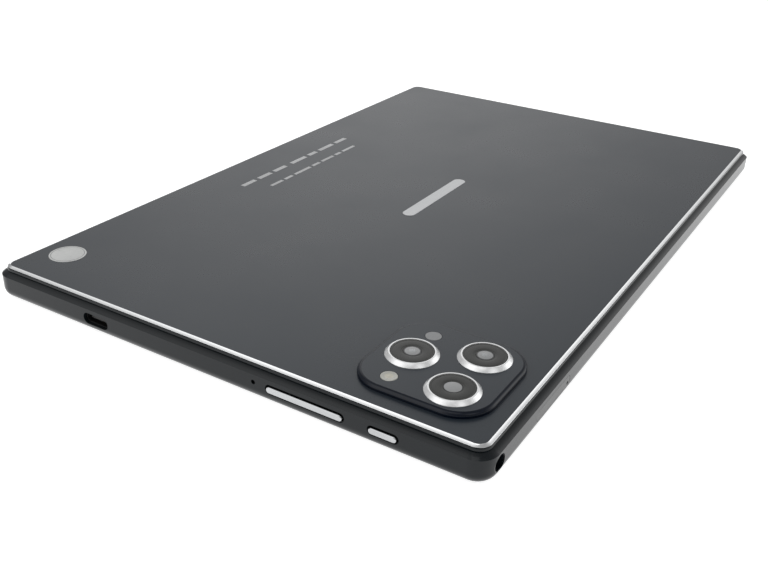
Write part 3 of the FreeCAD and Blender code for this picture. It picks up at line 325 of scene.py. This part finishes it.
print_mat = surface("rear_print_ink", (0.55, 0.555, 0.56), rough=0.5, var=0.2, grain=3200.0,
                    bump=3e-6, rough_var=0.08)
badge_mat = surface("badge_satin", (0.62, 0.63, 0.64), metallic=0.6, rough=0.36, var=0.12,
                    brushed=(9000.0, 260.0, 9000.0), bump=1.5e-6, rough_var=0.08)
key_mat = surface("key_brushed_silver", (0.52, 0.53, 0.54), metallic=1.0, rough=0.26, var=0.10,
                  brushed=(220.0, 7000.0, 9000.0), bump=1.2e-6, rough_var=0.07)

# -------------------------------------------------------------- rear cover
A, B, R0 = 78.4, 120.0, 4.0
top = 9.9
NC = 20


def cover_shell():
    """The cover: rim, crowned skirt, bright chamfer and flat back in one skin."""
    z0, z1, zm = 8.36, 9.5, 8.6
    di = 0.60
    skirt = [(0.45, z0), (0.41, 8.48), (0.38, zm)]
    for k in range(1, 7):
        t = k / 7.0
        # crowned rise from the skirt's widest point to the foot of the chamfer
        d = 0.38 + (di - 0.38) * t - 0.06 * math.sin(math.pi * t)
        z = zm + (z1 - zm) * t
        skirt.append((d, z))
    foot = [(di - 0.015, z1 - 0.03), (di, z1), (di + 0.03, z1 + 0.034)]
    edge = [(1.40, top - 0.06), (1.45, top - 0.016), (1.50, top), (1.60, top)]
    outer = skirt + foot + edge
    inner = [(3.4, top - 0.9), (3.4, 7.6), (2.5, 7.6), (2.5, z0)]
    bm = bmesh.new()

    def loop(d, z):
        r = max(R0 - d, 0.25)
        return ring_of(bm, rr_points(0, 0, A - d, B - d, r, NC), z)

    rings = [loop(d, z) for d, z in outer]
    n_skirt = len(skirt) + 1
    for k in range(len(rings) - 1):
        bridge(bm, rings[k], rings[k + 1],
               2 if k < n_skirt else (1 if k < len(rings) - 2 else 0))
    low = [loop(d, z) for d, z in inner]
    for k in range(len(low) - 1):
        bridge(bm, low[k], low[k + 1], 0)
    bridge(bm, low[-1], rings[0], 0)
    w_top = ring_of(bm, rr_points(54.8, -96.5, 16.0, 15.25, 8.0, 10), top)
    w_bot = ring_of(bm, rr_points(54.8, -96.5, 16.0, 15.25, 8.0, 10), top - 0.9)
    w_out = ring_of(bm, rr_points(54.8, -96.5, 16.1, 15.35, 8.1, 10), top)
    bridge(bm, w_top, w_bot, 0)
    bridge(bm, w_out, w_top, 0)
    fill(bm, [rings[-1], w_out], 0)
    fill(bm, [low[0], w_bot], 0)
    return link_mesh("rear_cover_shell", bm, [paint, polished, frame_paint], replaces=["rear_cover"],
                     slot="cover_metal", sharp=20.0)


cover_shell()

# ------------------------------------------------------------ camera block
LENS = [(1, 46.3, -96.7), (2, 62.1, -88.3), (3, 62.1, -105.1)]
FLASH = (46.75, -108.35)
SENSOR = (46.45, -86.15)


def camera_block():
    bx, by, hx, hy, r = 54.8, -96.5, 18.06, 17.34, 9.73
    h = top + 1.4
    bm = bmesh.new()

    def loop(d, z):
        return ring_of(bm, rr_points(bx, by, hx - d, hy - d, r - d, 28), z)

    sec = [(0.0, top), (0.0, h - 1.0)]
    for k in range(1, 13):
        a = math.radians(90.0 * k / 12)
        sec.append((1.0 - 1.0 * math.cos(a), h - 1.0 + 1.0 * math.sin(a)))
    sec.append((1.08, h))
    rings = [loop(d, z) for d, z in sec]
    for k in range(len(rings) - 1):
        bridge(bm, rings[k], rings[k + 1], 0)
    in1 = loop(1.35, top)
    in2 = loop(1.35, top + 0.5)
    bridge(bm, rings[0], in1, 0)
    bridge(bm, in1, in2, 0)
    tops, bots = [rings[-1]], [in2]
    for x, y, rad, n in [(x, y, 6.1, 96) for _, x, y in LENS] + [
            (FLASH[0], FLASH[1], 2.2, 48), (SENSOR[0], SENSOR[1], 2.2, 48)]:
        a0 = ring_of(bm, circle_pts(x, y, rad + 0.13, n), h)
        a = ring_of(bm, circle_pts(x, y, rad + 0.05, n), h)
        bridge(bm, a0, a, 1)
        a2 = ring_of(bm, circle_pts(x, y, rad, n), h - 0.05)
        b = ring_of(bm, circle_pts(x, y, rad, n), top + 0.5)
        bridge(bm, a, a2, 0)
        bridge(bm, a2, b, 0)
        tops.append(a0)
        bots.append(b)
    fill(bm, tops, 1)
    fill(bm, bots, 0)
    return link_mesh("camera_block", bm, [bump_gloss, paint], replaces=["camera_bump"],
                     slot="bump_gloss", sharp=20.0)


camera_block()
bt = top + 1.4
rt = bt + 1.0
dz = rt - 0.8
for n, x, y in LENS:
    sec = [(4.9, bt - 0.9), (6.05, bt - 0.9), (6.05, bt), (6.9, bt), (6.9, bt + 0.12),
           (5.99, rt), (5.6, rt), (5.6, dz), (4.9, dz)]
    rad = [0.03, 0.03, 0.03, 0.02, 0.07, 0.06, 0.05, 0.03, 0.03]
    lathe("lens_bezel_%d" % n, rounded(sec, rad), x, y, [chrome], n=192,
          replaces=["lens_ring_%d" % n], slot="ring_chrome", sharp=24.0)
    sec = [(2.3, dz), (5.55, dz), (5.55, dz + 0.62), (5.47, dz + 0.70), (5.10, dz + 0.70),
           (5.04, dz + 0.66), (4.98, dz + 0.70), (2.90, dz + 0.70), (2.85, dz + 0.67),
           (2.37, dz + 0.66), (2.3, dz + 0.60)]
    rad = [0, 0, 0.03, 0.03, 0.02, 0.02, 0.02, 0.02, 0.02, 0.02, 0]
    lathe("lens_plate_%d" % n, rounded(sec, rad, 3), x, y, [disc_black], n=160,
          replaces=["lens_disc_%d" % n], slot="disc_black")
    dome = [(0.0, dz), (2.25, dz), (2.25, dz + 0.64), (2.21, dz + 0.675), (2.12, dz + 0.68)]
    for k in range(1, 11):
        t = k / 10.0
        dome.append((2.12 * (1 - t), dz + 0.68 + 0.078 * math.sin(math.pi / 2 * t)))
    dome[-1] = (0.0, dz + 0.758)
    if n < 3:
        pick = lambda k, a, b: 1 if max(a[0], b[0]) > 2.0 else (2 if max(a[0], b[0]) < 0.85 else 0)
    else:
        pick = lambda k, a, b: 1 if max(a[0], b[0]) > 2.13 else 0
    lathe("lens_eye_%d" % n, dome, x, y, [dot_grey, dot_rim, dot_core], pick=pick, n=96,
          closed=False, replaces=["lens_glass_%d" % n], slot="lens_glass")

fz = bt - 0.9
sec = [(0.0, fz), (2.13, fz), (2.13, bt - 0.02), (2.08, bt + 0.036), (1.86, bt + 0.036)]
for k in range(6):
    r1 = 1.80 - 0.2 * k
    sec += [(r1, bt - 0.004), (r1 - 0.13, bt + 0.034)]
sec += [(0.55, bt + 0.0), (0.45, bt + 0.034), (0.0, bt + 0.038)]
lathe("flash_diffuser", sec, FLASH[0], FLASH[1], [flash_mat, flash_core],
      pick=lambda k, a, b: 1 if max(a[0], b[0]) < 1.15 and min(a[1], b[1]) > fz + 0.1 else 0,
      n=72, closed=False, replaces=["flash_lens"], slot="flash_lens", sharp=60.0)
sec = [(0.0, fz), (2.13, fz), (2.13, bt), (2.07, bt + 0.036), (1.9, bt + 0.038),
       (0.0, bt + 0.038)]
lathe("sensor_cover", sec, SENSOR[0], SENSOR[1], [sensor_mat], n=72, closed=False,
      replaces=["sensor_window"], slot="sensor_window")

# ------------------------------------------------------------ round sticker
sec = [(0.0, top), (5.4, top), (5.4, top + 0.07), (5.36, top + 0.105), (4.95, top + 0.108),
       (4.93, top + 0.115), (4.72, top + 0.115), (4.70, top + 0.108), (0.0, top + 0.112)]
lathe("round_sticker", sec, -67.8, -104.2, [label_mat, label_ink],
      pick=lambda k, a, b: 1 if k == 5 else 0, n=128, closed=False,
      replaces=["round_label"], slot="label_film")

give("badge", badge_mat)
give("rear_print", print_mat)
give("side_frame", frame_paint)
give("volume_rocker", key_mat)
give("power_button", key_mat)

# ------------------------------------------------------- USB tongue contacts
gold = surface("contact_gold", (0.83, 0.60, 0.26), metallic=1.0, rough=0.24, var=0.08,
               grain=5000.0, bump=1e-6, rough_var=0.06)


def usb_contacts():
    bm = bmesh.new()
    for side in (1, -1):
        for k in range(12):
            x = -38.6 + (k - 5.5) * 0.5
            y0 = -119.5 + (0.25 if k in (1, 10) else 0.0)
            z = 4.5 + side * 0.365
            m = Matrix.Translation(Vector((x * mm, (y0 + 1.6) * mm, z * mm)))
            m = m @ Matrix.Diagonal((0.26 * mm, 3.2 * mm, 0.03 * mm, 1.0))
            geo = bmesh.ops.create_cube(bm, size=1.0, matrix=m)
    o = link_mesh("usb_contacts", bm, [gold], slot="contact_brass")
    return o


usb_contacts()

# ------------------------------------------------ screen side and insides
glass_mat = surface("cover_glass_clear", (0.98, 0.99, 1.0), rough=0.03, var=0.004, grain=400.0,
                    bump=1e-8, rough_var=0.01, transmission=1.0, ior=1.5)
give("cover_glass", glass_mat)
give("bezel_mask", surface("bezel_ink", (0.006, 0.006, 0.007), rough=0.4, var=0.2,
                           grain=3000.0, bump=6e-7))


def lcd_material():
    m, nt, b = new_material("screen_off")
    vec = coords(nt, (1.0, 1.0, 1.0))
    w = nt.nodes.new("ShaderNodeTexWave")
    w.bands_direction = "X"
    w.inputs["Scale"].default_value = 260.0
    nt.links.new(vec, w.inputs["Vector"])
    wide = noise(nt, vec, 14.0, 2.0)
    col = mix_color(nt, w.outputs["Fac"], (0.0105, 0.0115, 0.0145), (0.0125, 0.0135, 0.0170))
    col = mix_color(nt, span(nt, wide, 0.0, 0.35), col, (0.020, 0.021, 0.027))
    nt.links.new(col, b.inputs["Base Color"])
    nt.links.new(span(nt, wide, 0.16, 0.26), b.inputs["Roughness"])
    b.inputs["Specular IOR Level"].default_value = 0.15
    bumped(nt, b, wide, 2e-8)
    return m


give("display_panel", lcd_material())
dark_plastic = surface("moulded_black", (0.022, 0.022, 0.023), rough=0.45, var=0.18, grain=2600.0,
                       bump=5e-6, rough_var=0.1)
steel = surface("sheet_steel", (0.58, 0.58, 0.57), metallic=1.0, rough=0.30, var=0.12,
                brushed=(500.0, 6000.0, 6000.0), bump=1.5e-6, rough_var=0.1)
tin = surface("tinned_shield", (0.66, 0.66, 0.65), metallic=1.0, rough=0.34, var=0.14,
              grain=700.0, bump=4e-6, rough_var=0.12)
alloy = surface("plain_alloy_sheet", (0.60, 0.60, 0.61), metallic=1.0, rough=0.38, var=0.10,
                brushed=(6000.0, 400.0, 6000.0), bump=1.5e-6, rough_var=0.1)
film = surface("amber_flex_film", (0.42, 0.19, 0.045), rough=0.26, var=0.2, grain=1500.0,
               bump=3e-6, rough_var=0.1, coat=0.4)
mask_green = surface("solder_mask", (0.010, 0.060, 0.035), rough=0.32, var=0.28, grain=1400.0,
                     bump=6e-6, rough_var=0.1, coat=0.3)
chip_mat = surface("chip_resin", (0.028, 0.028, 0.030), rough=0.5, var=0.2, grain=4200.0,
                   bump=5e-6, rough_var=0.08)
foil = surface("cell_foil", (0.42, 0.42, 0.43), metallic=0.7, rough=0.36, var=0.18, grain=420.0,
               bump=1.6e-5, rough_var=0.12)
port_steel = surface("port_shell_black", (0.012, 0.012, 0.013), metallic=0.3, rough=0.42, var=0.2,
                     grain=3000.0, bump=3e-6, rough_var=0.08)
rubber = surface("jacket_rubber", (0.02, 0.02, 0.021), rough=0.6, var=0.2, grain=2600.0, bump=6e-6)
foam = surface("adhesive_foam", (0.03, 0.03, 0.031), rough=0.8, var=0.2, grain=5200.0, bump=1e-5)
acrylic = surface("guide_acrylic", (0.82, 0.85, 0.87), rough=0.12, var=0.05, grain=900.0,
                  bump=1e-6, rough_var=0.05)
zinc = surface("screw_zinc", (0.50, 0.50, 0.49), metallic=1.0, rough=0.32, var=0.16, grain=3600.0,
               bump=3e-6, rough_var=0.12)
white_board = surface("led_board_white", (0.72, 0.72, 0.68), rough=0.42, var=0.1, grain=2600.0,
                      bump=4e-6)
tray_mat = surface("tray_coat", (0.0075, 0.0085, 0.0095), rough=0.18, var=0.14, grain=2600.0,
                   bump=1e-6, rough_var=0.05, ior=1.42)
dark_steel = surface("socket_dark_steel", (0.10, 0.10, 0.105), metallic=1.0, rough=0.34, var=0.15,
                     brushed=(500.0, 6000.0, 6000.0), bump=1.5e-6, rough_var=0.1)
for mat, names in (
        (foam, ["display_gasket"]), (acrylic, ["light_guide"]),
        (alloy, ["backlight_tray", "mid_plate"]), (tray_mat, ["card_tray"]),
        (steel, ["key_domes", "key_bracket", "eject_rod", "eject_lever", "microphone"]),
        (port_steel, ["usb_shell"]),
        (dark_plastic, ["usb_tongue", "jack_body", "card_connector", "speaker_left",
                        "speaker_right", "camera_module_1", "camera_module_2", "front_camera"]),
        (gold, ["jack_contacts", "card_contacts", "wifi_antenna", "cell_antenna"]),
        (tin, ["shield_can_1", "shield_can_2"]), (chip_mat, ["processor", "memory_chips"]),
        (mask_green, ["mainboard", "battery_board"]), (foil, ["battery_cells"]),
        (film, ["key_flex", "battery_lead", "display_flex", "touch_flex"]),
        (rubber, ["coax_cable"]), (zinc, ["plate_screws", "board_screws"]),
        (white_board, ["flash_led"])):
    for nm in names:
        give(nm, mat)

lens_black = surface("front_lens_coating", (0.004, 0.005, 0.012), rough=0.06, var=0.2,
                     grain=3000.0, bump=2e-7, rough_var=0.02, coat=1.0, coat_rough=0.02)
ring_grey = surface("front_lens_ring", (0.05, 0.05, 0.055), rough=0.35, var=0.15, grain=5000.0,
                    bump=1e-6)
sec = [(0.0, 1.052), (1.45, 1.052), (1.45, 1.02), (1.15, 1.02), (1.05, 1.04), (0.85, 1.045),
       (0.6, 1.03), (0.0, 1.02)]
lathe("front_lens", sec, 0.0, -113.0, [ring_grey, lens_black],
      pick=lambda k, a, b: 1 if max(a[0], b[0]) < 0.9 else 0, n=72, closed=False,
      slot="camera_body")

# ----------------------------------------------------------- floor and light
fm, fnt, fb = new_material("pale_floor")
fvec = coords(fnt)
fcol = mix_color(fnt, span(fnt, noise(fnt, fvec, 3.0, 2.0), 0.0, 1.0), (0.50, 0.505, 0.51),
                 (0.53, 0.53, 0.53))
fnt.links.new(fcol, fb.inputs["Base Color"])
fb.inputs["Roughness"].default_value = 0.9
fb.inputs["Specular IOR Level"].default_value = 0.0
fb.inputs["Emission Color"].default_value = (1.0, 1.0, 1.0, 1.0)
fb.inputs["Emission Strength"].default_value = 0.88
bm = bmesh.new()
bmesh.ops.create_grid(bm, x_segments=4, y_segments=4, size=8.0)
me = bpy.data.meshes.new("floor")
bm.to_mesh(me)
bm.free()
me.materials.append(fm)
floor = bpy.data.objects.new("floor", me)
floor.location = (0, 0, -0.00003)
scene.collection.objects.link(floor)

world = bpy.data.worlds.new("studio")
scene.world = world
world.use_nodes = True
wn = world.node_tree
wn.nodes.clear()
wout = wn.nodes.new("ShaderNodeOutputWorld")
bg = wn.nodes.new("ShaderNodeBackground")
wtc = wn.nodes.new("ShaderNodeTexCoord")


def lobe(direction, power, gain):
    """A soft bright patch of the room in one direction."""
    v = Vector(direction).normalized()
    d = wn.nodes.new("ShaderNodeVectorMath")
    d.operation = "DOT_PRODUCT"
    d.inputs[1].default_value = v
    wn.links.new(wtc.outputs["Generated"], d.inputs[0])
    a = math_node(wn, "MAXIMUM", d.outputs["Value"], 0.0)
    return math_node(wn, "MULTIPLY", math_node(wn, "POWER", a, float(power)), float(gain))


total = lobe((-0.47, 0.80, 0.37), 20, 0.75)
for direction, power, gain in (((0.60, 0.75, 0.28), 12, 1.5), ((-0.43, -0.375, 0.82), 10, 1.1),
                               ((0.637, -0.216, 0.738), 30, 0.9),
                               ((-0.455, -0.83, 0.30), 10, 1.0),
                               ((-0.66, 0.55, 0.56), 40, 0.5)):
    total = math_node(wn, "ADD", total, lobe(direction, power, gain))
total = math_node(wn, "ADD", total, 0.32)
bg.inputs["Color"].default_value = (1.0, 1.0, 1.0, 1.0)
wn.links.new(total, bg.inputs["Strength"])
wn.links.new(bg.outputs["Background"], wout.inputs["Surface"])


def area(name, toward, dist, size, radiance, color=(1, 1, 1)):
    """A soft light at a direction from the tablet, facing it."""
    d = bpy.data.lights.new(name, "AREA")
    d.shape = "RECTANGLE"
    d.size, d.size_y = size
    d.energy = radiance * math.pi * size[0] * size[1]
    d.color = color
    o = bpy.data.objects.new(name, d)
    v = Vector(toward).normalized()
    o.location = v * dist
    o.rotation_euler = v.to_track_quat("Z", "Y").to_euler()
    scene.collection.objects.link(o)
    return o


area("softbox_top", (0.13, -0.375, 0.90), 0.9, (0.30, 0.30), 0.8)
